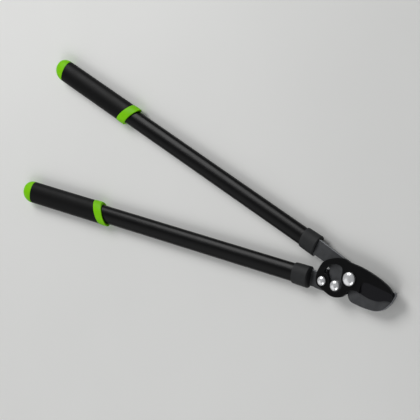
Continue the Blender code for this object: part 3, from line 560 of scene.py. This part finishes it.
# A sleeve round an oval arm: a rounded wall section carried round the oval, its ends leaning or square.
def sleeveTree():
    tree = bpy.data.node_groups.new("ovalSleeve", "GeometryNodeTree")
    for name in ("Start", "Length", "Half Width", "Half Thickness", "Side Wall", "Face Wall",
                 "Corner", "Crown", "Near Lean", "Far Lean"):
        tree.interface.new_socket(name=name, in_out="INPUT", socket_type="NodeSocketFloat")
    tree.interface.new_socket(name="Sides", in_out="INPUT", socket_type="NodeSocketInt")
    tree.interface.new_socket(name="Section Points", in_out="INPUT", socket_type="NodeSocketInt")
    tree.interface.new_socket(name="Material", in_out="INPUT", socket_type="NodeSocketMaterial")
    tree.interface.new_socket(name="Geometry", in_out="OUTPUT", socket_type="NodeSocketGeometry")
    given = addNode(tree, "NodeGroupInput").outputs
    grid = addNode(tree, "GeometryNodeMeshGrid", {
        "Size X": 1.0, "Size Y": 1.0, "Vertices X": given["Section Points"], "Vertices Y": given["Sides"]})
    place = addNode(tree, "ShaderNodeSeparateXYZ", {0: grid.outputs["UV Map"]})
    section = addNode(tree, "ShaderNodeMath", {0: place.outputs[0], 1: 2 * math.pi}, operation="MULTIPLY")
    around = addNode(tree, "ShaderNodeMath", {0: place.outputs[1], 1: 2 * math.pi}, operation="MULTIPLY")
    squared = []
    for wave in ("COSINE", "SINE"):   # the wall's section is a circle squared off by the corner's power
        value = addNode(tree, "ShaderNodeMath", {0: section}, operation=wave)
        size = addNode(tree, "ShaderNodeMath", {0: value}, operation="ABSOLUTE")
        full = addNode(tree, "ShaderNodeMath", {0: size, 1: given["Corner"]}, operation="POWER")
        sign = addNode(tree, "ShaderNodeMath", {0: value}, operation="SIGN")
        squared.append(addNode(tree, "ShaderNodeMath", {0: full, 1: sign}, operation="MULTIPLY"))
    along = addNode(tree, "ShaderNodeMapRange", {"Value": squared[0], "From Min": -1.0, "From Max": 1.0})
    inward = addNode(tree, "ShaderNodeMapRange", {"Value": squared[1], "From Min": 1.0, "From Max": -1.0})
    outward = addNode(tree, "ShaderNodeMapRange", {"Value": squared[1], "From Min": -1.0, "From Max": 1.0})
    bulgeAt = addNode(tree, "ShaderNodeMath", {0: along, 1: math.pi}, operation="MULTIPLY")
    bulge = addNode(tree, "ShaderNodeMath", {0: bulgeAt}, operation="SINE")
    crown = addNode(tree, "ShaderNodeMath", {0: bulge, 1: given["Crown"]}, operation="MULTIPLY")
    lift = addNode(tree, "ShaderNodeMath", {0: crown, 1: outward}, operation="MULTIPLY")
    reach = []
    for half, wall, wave in (("Half Width", "Side Wall", "COSINE"), ("Half Thickness", "Face Wall", "SINE")):
        depth = addNode(tree, "ShaderNodeMath", {0: inward, 1: given[wall]}, operation="MULTIPLY")
        radius = addNode(tree, "ShaderNodeMath", {0: given[half], 1: depth}, operation="SUBTRACT")
        raised = addNode(tree, "ShaderNodeMath", {0: radius, 1: lift}, operation="ADD")
        turned = addNode(tree, "ShaderNodeMath", {0: around}, operation=wave)
        reach.append(addNode(tree, "ShaderNodeMath", {0: raised, 1: turned}, operation="MULTIPLY"))
    lean = addNode(tree, "ShaderNodeMapRange", {
        "Value": along, "To Min": given["Near Lean"], "To Max": given["Far Lean"]})
    slant = addNode(tree, "ShaderNodeMath", {0: lean, 1: reach[0]}, operation="MULTIPLY")
    run = addNode(tree, "ShaderNodeMath", {0: along, 1: given["Length"]}, operation="MULTIPLY")
    station = addNode(tree, "ShaderNodeMath", {0: given["Start"], 1: run}, operation="ADD")
    slanted = addNode(tree, "ShaderNodeMath", {0: station, 1: slant}, operation="ADD")
    position = addNode(tree, "ShaderNodeCombineXYZ", {"X": slanted, "Y": reach[0], "Z": reach[1]})
    shaped = addNode(tree, "GeometryNodeSetPosition", {
        "Geometry": grid.outputs["Mesh"], "Position": position})
    closed = addNode(tree, "GeometryNodeMergeByDistance", {
        "Geometry": shaped.outputs["Geometry"], "Distance": 0.002})
    real = addNode(tree, "GeometryNodeRealizeInstances", {"Geometry": closed.outputs["Geometry"]})
    coloured = addNode(tree, "GeometryNodeSetMaterial", {
        "Geometry": real.outputs["Geometry"], "Material": given["Material"]})
    addNode(tree, "NodeGroupOutput", {"Geometry": coloured.outputs["Geometry"]})
    return tree


def grow(name, tree, sizes):
    obj = bpy.data.objects.new(name, bpy.data.meshes.new(name))
    bpy.context.scene.collection.objects.link(obj)
    modifier = obj.modifiers.new(name, "NODES")
    modifier.node_group = tree
    for item in tree.interface.items_tree:
        if item.in_out == "INPUT":
            modifier[item.identifier] = sizes[item.name]
    mesh = bpy.data.meshes.new_from_object(obj.evaluated_get(bpy.context.evaluated_depsgraph_get()))
    obj.modifiers.clear()
    bpy.data.objects.remove(obj)
    bm = bmesh.new()
    bm.from_mesh(mesh)
    return cleanMesh(bm, name)


thread = threadTree()


def makeBolt(label, size):
    name = label + "Bolt"
    base = size["seat"] + head["gap"]
    top = base + size["height"]
    flank = top - size["dome"]
    soft = boltShape["rimRound"]
    profile = [(0.0, top)]
    steps = 32
    for k in range(1, steps + 1):
        turn = math.pi / 2 * k / steps
        profile.append((size["head"] * math.sin(turn), flank + size["dome"] * math.cos(turn)))
    profile += [(size["head"], base + soft), (size["head"] - 0.15 * soft, base + 0.3 * soft),
                (size["head"] - soft, base), (size["shank"], base)]
    core = size["shank"] - head["ridge"] * size["pitch"]
    end, chamfer = size["end"], boltShape["chamfer"]
    threadTop = end + size["thread"]
    profile += [(size["shank"], threadTop), (core, threadTop - boltShape["runOut"]),
                (core, end + chamfer), (core - chamfer, end), (0.0, end)]
    place = Matrix.Translation((*size["at"], 0.0))
    finishPiece(name, latheMesh(name, profile), "polishedPlate", size["body"],
                [label + "_bolt"], place, crease=28.0)
    turns = int((size["thread"] - boltShape["bare"]) / size["pitch"])
    ridges = grow(name + "Thread", thread, {
        "Radius": size["shank"] - 0.5 * size["pitch"], "Pitch": size["pitch"], "Turns": turns,
        "Material": finishes["polishedPlate"]})
    start = Matrix.Translation((*size["at"], end + 0.55 * size["pitch"]))
    finishPiece(name + "Thread", ridges, "polishedPlate", size["body"], [], start)


for label, size in bolts.items():
    makeBolt(label, size)

# Nuts and washers sit on the bolts of the same label, under the plates.
nuts = {
    "pivot": {"flats": 8.0, "span": (1.9, 9.9)},
    "fulcrum": {"flats": 6.5, "span": (0.8, 4.8)},
    "drive": {"flats": 5.0, "span": (0.8, 4.8)},
}
nutShape = {
    "face": 0.96,            # a nut's flat face, as a share of its half width over the flats
    "proud": 0.2,            # the cone that trims the corners starts this far outside them
    "slope": math.radians(28),
}
washers = {"pivot": 8.6, "fulcrum": 7.6, "drive": 7.8}   # outer radii


def makeNut(label, size):
    bolt = bolts[label]
    name = label + "Nut"
    low, high = size["span"]
    corner = size["flats"] / math.cos(math.pi / 6)
    hexagon = [(corner * math.cos(k * math.pi / 3), corner * math.sin(k * math.pi / 3)) for k in range(6)]
    bore = roundLoop((0, 0), bolt["shank"] + head["gap"])
    block = plateMesh(name, [hexagon, bore], low, high)
    face, outside = size["flats"] * nutShape["face"], corner + nutShape["proud"]
    drop = (outside - face) * math.tan(nutShape["slope"])
    cone = latheMesh("cone", [(0.0, high), (face, high), (outside, high - drop),
                              (outside, low + drop), (face, low), (0.0, low)])
    mesh = combine(block, cone, "INTERSECT")
    finishPiece(name, mesh, "zincPlate", bolt["body"], [label + "_nut"],
                Matrix.Translation((*bolt["at"], 0.0)), crease=20.0)


def makeWasher(label, radius):
    bolt = bolts[label]
    low, high = levels(label + "_washer")
    loops = [roundLoop((0, 0), radius), roundLoop((0, 0), bolt["shank"] + head["gap"])]
    mesh = plateMesh(label + "Washer", loops, low, high, rim=0.15)
    finishPiece(label + "Washer", mesh, "zincPlate", bolt["body"], [label + "_washer"],
                Matrix.Translation((*bolt["at"], 0.0)), crease=20.0)


for label, size in nuts.items():
    makeNut(label, size)
for label, radius in washers.items():
    makeWasher(label, radius)
print("fasteners made")

sleeve = sleeveTree()


def makeArm(label, side, body):
    place = armPlace(side)
    lean = side * arms["lean"]
    boreWide, boreThick = arms["tubeWide"] + arms["gap"], arms["tubeThick"] + arms["gap"]
    ringFar = arms["ringNear"] + arms["ringLength"]
    gripNear = ringFar + arms["gap"] * math.sqrt(1 + lean ** 2)
    shared = {"Near Lean": 0.0, "Far Lean": 0.0, "Crown": 0.0, "Sides": 129, "Section Points": 65}
    tube = grow("tube", sleeve, {
        **shared, "Start": arms["tubeNear"], "Length": arms["gripFar"] - arms["tubeNear"],
        "Half Width": arms["tubeWide"], "Half Thickness": arms["tubeThick"],
        "Side Wall": arms["tubeWall"], "Face Wall": arms["tubeWall"], "Corner": 0.02,
        "Material": finishes["tubeEnamel"]})
    finishPiece(label + "Tube", tube, "tubeEnamel", body, [label + "_tube"], place)

    crown = 0.35   # the ring swells this much between its rims
    ring = grow("ring", sleeve, {
        **shared, "Start": arms["ringNear"], "Length": arms["ringLength"],
        "Half Width": arms["ringWide"] - crown, "Half Thickness": arms["ringThick"] - crown,
        "Side Wall": arms["ringWide"] - crown - boreWide, "Face Wall": arms["ringThick"] - crown - boreThick,
        "Corner": 0.2, "Crown": crown, "Near Lean": lean, "Far Lean": lean,
        "Material": finishes["limeRubber"]})
    finishPiece(label + "GripRing", ring, "limeRubber", body, [label + "_grip_ring"], place)

    grip = grow("grip", sleeve, {
        **shared, "Start": gripNear, "Length": arms["gripFar"] - gripNear,
        "Half Width": arms["gripWide"], "Half Thickness": arms["gripThick"],
        "Side Wall": arms["gripWide"] - boreWide, "Face Wall": arms["gripThick"] - boreThick,
        "Corner": 0.03, "Near Lean": lean, "Material": finishes["gripRubber"]})
    finishPiece(label + "Grip", grip, "gripRubber", body, [label + "_grip"], place)

    wide, thick = arms["gripWide"], arms["gripThick"]
    start = arms["gripFar"] + arms["gap"]
    dome = start + arms["capRim"]
    end = arms["gripFar"] + arms["capLength"]
    spigotWide = arms["tubeWide"] - arms["tubeWall"] - arms["gap"]
    spigotThick = arms["tubeThick"] - arms["tubeWall"] - arms["gap"]
    spigotEnd = arms["gripFar"] - arms["spigot"]
    stations = [(spigotEnd, spigotWide - 0.5, spigotThick - 0.5),
                (spigotEnd + 1.0, spigotWide, spigotThick),
                (start, spigotWide, spigotThick), (start, wide - 0.5, thick - 0.5),
                (start + 0.15, wide - 0.2, thick - 0.2), (start + 0.5, wide, thick)]
    steps, fullness, tip = 40, 0.9, 0.02
    for k in range(steps):
        turn = math.pi / 2 * k / steps
        shrink = math.cos(turn) ** fullness
        stations.append((dome + (end - dome) * math.sin(turn), wide * shrink, thick * shrink))
    stations.append((end, tip * wide, tip * thick))
    finishPiece(label + "EndCap", ovalLoft("cap", stations), "limeRubber", body,
                [label + "_end_cap"], place)

    near, shoulder, far = arms["collarNear"], arms["shoulder"], arms["collarNear"] + arms["collarLength"]
    wide, thick = boreWide + arms["collarWall"], boreThick + arms["collarWall"]
    soft, wall = arms["noseRound"], arms["collarWall"]
    outside = bowThrough([
        (near, wide - soft, thick - 0.8 * soft),
        (near + 0.55 * shoulder, wide - 0.47 * soft, thick - 0.4 * soft),
        (near + shoulder, wide - 0.05 * soft, thick - 0.05 * soft),
        (near + 1.4 * shoulder, wide, thick),
        (far - 0.6 * shoulder, wide - 0.2 * wall, thick - 0.2 * wall),
        (far, wide - 0.6 * wall, thick - 0.6 * wall)], steps=6)
    stations = outside + [(far, boreWide, boreThick),
                          (arms["tubeNear"] - arms["gap"], boreWide, boreThick)]
    low, high = head["hook"] if side > 0 else head["lever"]
    neck = (head["upperNeck"] if side > 0 else head["lowerNeck"]) + arms["gap"]
    slotLength, slotMiddle = 40.0, near + 15.0   # it runs out through both ends of the collar
    slot = bmesh.new()
    bmesh.ops.create_cube(slot, size=1.0)
    bmesh.ops.scale(slot, vec=(slotLength, 2 * neck, high - low + 2 * arms["gap"]), verts=slot.verts)
    bmesh.ops.translate(slot, vec=(slotMiddle, 0, (low + high) / 2 - arms["axis"]), verts=slot.verts)
    mesh = combine(ovalLoft("collar", stations), cleanMesh(slot, "slot"), "DIFFERENCE")
    finishPiece(label + "Collar", mesh, "collarNylon", body, [label + "_collar"], place)


makeArm("upper", 1, "upper_handle")
makeArm("lower", -1, "lower_handle")
print("arms made")

# CAD solids that keep their shape and take a better finish
kept = {
    "pivot_bush": "bushBronze", "fulcrum_bush": "bushBronze", "drive_sleeve": "bushBronze",
    "fulcrum_spacer": "spacerNylon", "upper_tang_plug": "plugNylon", "lower_tang_plug": "plugNylon",
}
for name, finish in kept.items():
    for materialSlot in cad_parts[name].material_slots:
        materialSlot.material = finishes[finish]
print("inner solids finished:", len(kept))

# Studio: pale floor, a soft key from the upper handle's side, two weaker lamps and a grey sky.
studio = {
    "floorColour": ("#dededc", "#e4e4e2"), "floorSize": 12.0, "floorDrop": 0.0002,
    "skyColour": "#c8cacc", "skyStrength": 0.32,
    "aim": Vector((-0.26, 0.0, 0.0)),
    "key": {"towards": (-0.55, 0.47, 0.69), "distance": 2.4, "size": 1.3, "power": 36.0},
    "fill": {"towards": (0.45, -0.75, 0.9), "distance": 2.6, "size": 1.6, "power": 18.0},
    "bounce": {"towards": (-0.46, -0.62, 0.62), "distance": 2.6, "size": 2.0, "power": 8.0},
}
camera = {
    "location": (1.12096791, 0.51954938, 1.89416807),
    "turn": (0.378173, 38.046920, 21.350885),
    "lens": 145.26878, "sensor": 36.0, "shift": (-0.5 / 420, 0.5 / 420),
}


def makeStudio():
    floor = bpy.data.meshes.new("studioFloor")
    bm = bmesh.new()
    bmesh.ops.create_grid(bm, x_segments=4, y_segments=4, size=studio["floorSize"] / 2)
    bmesh.ops.translate(bm, vec=(0, 0, cadLow.z - studio["floorDrop"]), verts=bm.verts)
    bm.to_mesh(floor)
    bm.free()
    floorObject = bpy.data.objects.new("studioFloor", floor)
    floor.materials.append(makeFinish("paintedFloor", {
        "shader": {"Metallic": 0.0, "Specular IOR Level": 0.2}, "colours": studio["floorColour"],
        "patch": 0.6, "grain": 0.004, "rough": (0.75, 0.85), "relief": (0.02, 0.0001)}))
    bpy.context.scene.collection.objects.link(floorObject)
    for name in ("key", "fill", "bounce"):
        size = studio[name]
        lamp = bpy.data.lights.new(name, "AREA")
        lamp.shape = "SQUARE"
        lamp.size = size["size"]
        lamp.energy = size["power"]
        lampObject = bpy.data.objects.new(name, lamp)
        direction = Vector(size["towards"]).normalized()
        lampObject.location = studio["aim"] + direction * size["distance"]
        lampObject.rotation_euler = direction.to_track_quat("Z", "Y").to_euler()
        bpy.context.scene.collection.objects.link(lampObject)
    world = bpy.data.worlds.new("studio")
    world.use_nodes = True
    background = world.node_tree.nodes["Background"]
    background.inputs["Color"].default_value = linearColour(studio["skyColour"])
    background.inputs["Strength"].default_value = studio["skyStrength"]
    bpy.context.scene.world = world
    bpy.context.scene.view_settings.view_transform = "Standard"


def makeCamera():
    data = bpy.data.cameras.new("camera")
    data.lens = camera["lens"]
    data.sensor_width = camera["sensor"]
    data.shift_x, data.shift_y = camera["shift"]
    data.clip_start, data.clip_end = 0.1, 50.0
    eye = bpy.data.objects.new("camera", data)
    eye.location = camera["location"]
    eye.rotation_euler = [math.radians(angle) for angle in camera["turn"]]
    bpy.context.scene.collection.objects.link(eye)
    bpy.context.scene.camera = eye


makeStudio()
makeCamera()
print("studio and camera set")
